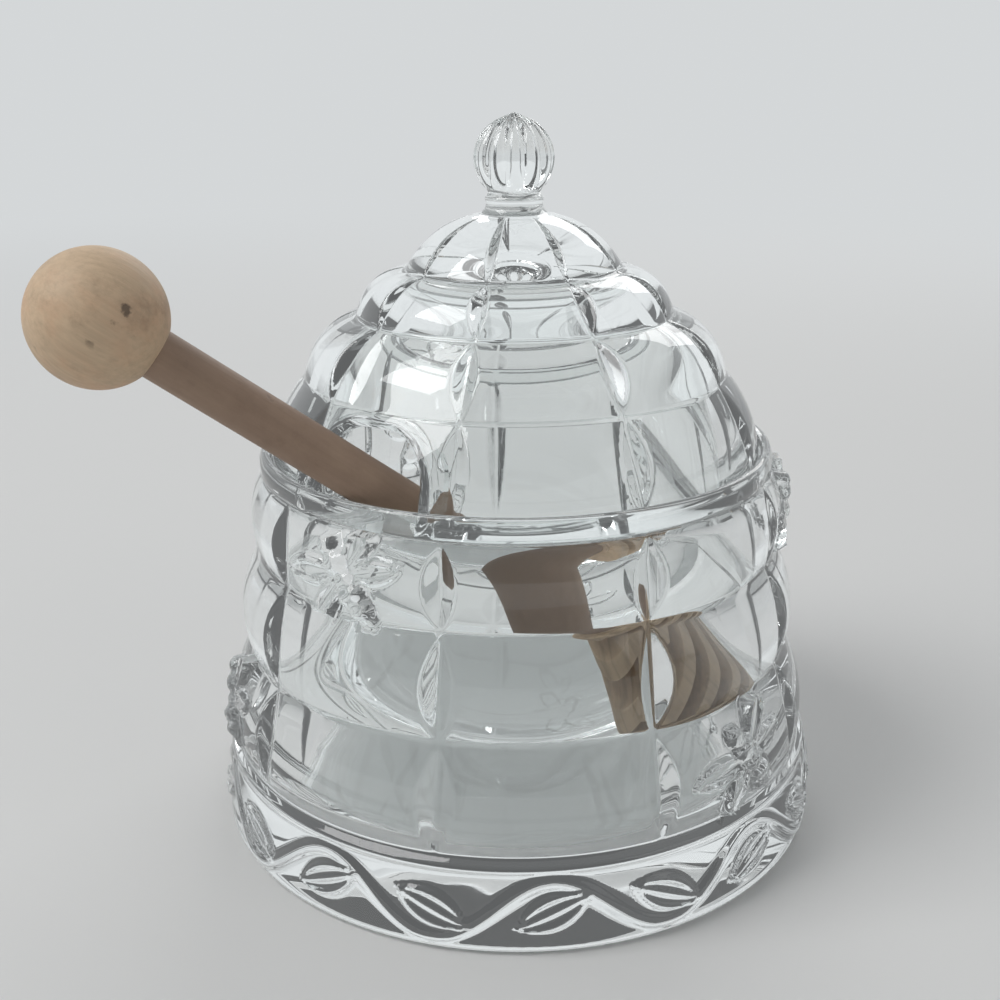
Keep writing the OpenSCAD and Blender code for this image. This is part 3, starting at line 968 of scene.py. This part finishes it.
class MakeLid(bpy.types.Operator):
    """Make the notched glass lid with its fluted knob"""
    bl_idname = "honey_pot.lid"
    bl_label = "Glass Lid"

    def execute(self, context):
        scene = context.scene
        mesh = lid_surface(scene.honey_pot_lid, scene.honey_pot_pattern)
        place(mesh, "lid", "lid", glass_material(scene.honey_pot_finish.glass), GLASS_CREASE)
        return {"FINISHED"}


class MakeDipper(bpy.types.Operator):
    """Make the wooden dipper: its ball, its stick and its grooved head"""
    bl_idname = "honey_pot.dipper"
    bl_label = "Wooden Dipper"

    def execute(self, context):
        sizes, finish = context.scene.honey_pot_dipper, context.scene.honey_pot_finish
        ball, stick, head, head_length = mm(sizes, "ball", "stick", "head", "head_length")
        end = stick_end(stick)
        place(ball_surface(ball, stick), "dipper_ball", "dipper",
              wood_material("ball_wood", finish.birch, finish.grain, finish.blush,
                            rings=210.0, lines_share=0.07, stain_share=0.5, pits=1.0),
              WOOD_CREASE)
        place(stick_surface(stick, STICK_START, end), "dipper_stick", "dipper",
              wood_material("stick_wood", finish.dowel, finish.grain, finish.birch,
                            rings=120.0, lines_share=0.14, stain_share=0.15, pits=0.3),
              WOOD_CREASE)
        place(head_surface(head, head_length, stick, sizes.discs, end + 0.05 - HEAD_SOCKET),
              "dipper_head", "dipper",
              wood_material("head_wood", finish.birch, finish.grain, finish.dowel,
                            rings=180.0, lines_share=0.2, stain_share=0.5, pits=0.3),
              WOOD_CREASE)
        return {"FINISHED"}


class MakeStage(bpy.types.Operator):
    """Make the pale floor, the soft lamps, the grey surround and the camera"""
    bl_idname = "honey_pot.stage"
    bl_label = "Stage"

    def execute(self, context):
        scene = context.scene
        mesh = bpy.data.meshes.new("floor")
        corners = [(x * FLOOR_HALF, y * FLOOR_HALF, FLOOR_Z) for x, y in ((-1, -1), (1, -1), (1, 1), (-1, 1))]
        mesh.from_pydata(corners, [], [(0, 1, 2, 3)])
        floor = bpy.data.objects.new("floor", mesh)
        scene.collection.objects.link(floor)
        mesh.materials.append(floor_material(scene.honey_pot_finish.floor))

        scene.world = studio_world()
        for lamp in LAMPS:
            hang_lamp(*lamp)

        camera = bpy.data.cameras.new("camera")
        camera.sensor_width = CAMERA_SENSOR
        camera.lens = CAMERA_SENSOR * CAMERA_LENS
        camera.shift_y = CAMERA_SHIFT
        camera.clip_start, camera.clip_end = 0.01, 50
        viewer = bpy.data.objects.new("camera", camera)
        viewer.matrix_world = (Matrix.Translation(CAMERA_AT)
                               @ Matrix.Rotation(math.radians(90 - CAMERA_DOWN), 4, "X")
                               @ Matrix.Rotation(math.radians(CAMERA_ROLL), 4, "Z"))
        scene.collection.objects.link(viewer)
        scene.camera = viewer
        scene.view_settings.view_transform = "Standard"
        return {"FINISHED"}


GROUPS = {
    "honey_pot_pattern": PatternSizes,
    "honey_pot_pot": PotSizes,
    "honey_pot_lid": LidSizes,
    "honey_pot_dipper": DipperSizes,
    "honey_pot_finish": Finishes,
}

# Each operator with the groups of sizes and colours that it works from.
STEPS = (
    (MakeStage, ("honey_pot_finish",)),
    (MakePot, ("honey_pot_pattern", "honey_pot_pot")),
    (MakeLid, ("honey_pot_lid",)),
    (MakeDipper, ("honey_pot_dipper",)),
)


class HoneyPotPanel(bpy.types.Panel):
    """Lists the operators, each with the sizes and colours that it works from"""
    bl_idname = "VIEW3D_PT_honey_pot"
    bl_label = "Honey Pot"
    bl_space_type = "VIEW_3D"
    bl_region_type = "UI"
    bl_category = "Honey Pot"

    def draw(self, context):
        for make, groups in STEPS:
            box = self.layout.box()
            box.operator(make.bl_idname)
            for group in groups:
                sizes = getattr(context.scene, group)
                for key in type(sizes).__annotations__:
                    box.prop(sizes, key)


def register():
    """Adds the classes, and the groups of sizes and colours to the scene."""
    for group in GROUPS.values():
        bpy.utils.register_class(group)
    for make, _ in STEPS:
        bpy.utils.register_class(make)
    bpy.utils.register_class(HoneyPotPanel)
    for name, group in GROUPS.items():
        setattr(bpy.types.Scene, name, bpy.props.PointerProperty(type=group))


def unregister():
    """Takes out all that register adds."""
    for name in GROUPS:
        delattr(bpy.types.Scene, name)
    bpy.utils.unregister_class(HoneyPotPanel)
    for make, _ in STEPS:
        bpy.utils.unregister_class(make)
    for group in GROUPS.values():
        bpy.utils.unregister_class(group)


def main():
    """Makes the stage and the pieces."""
    register()
    bpy.ops.honey_pot.stage()
    bpy.ops.honey_pot.pot()
    bpy.ops.honey_pot.lid()
    bpy.ops.honey_pot.dipper()


if __name__ == "__main__":
    main()
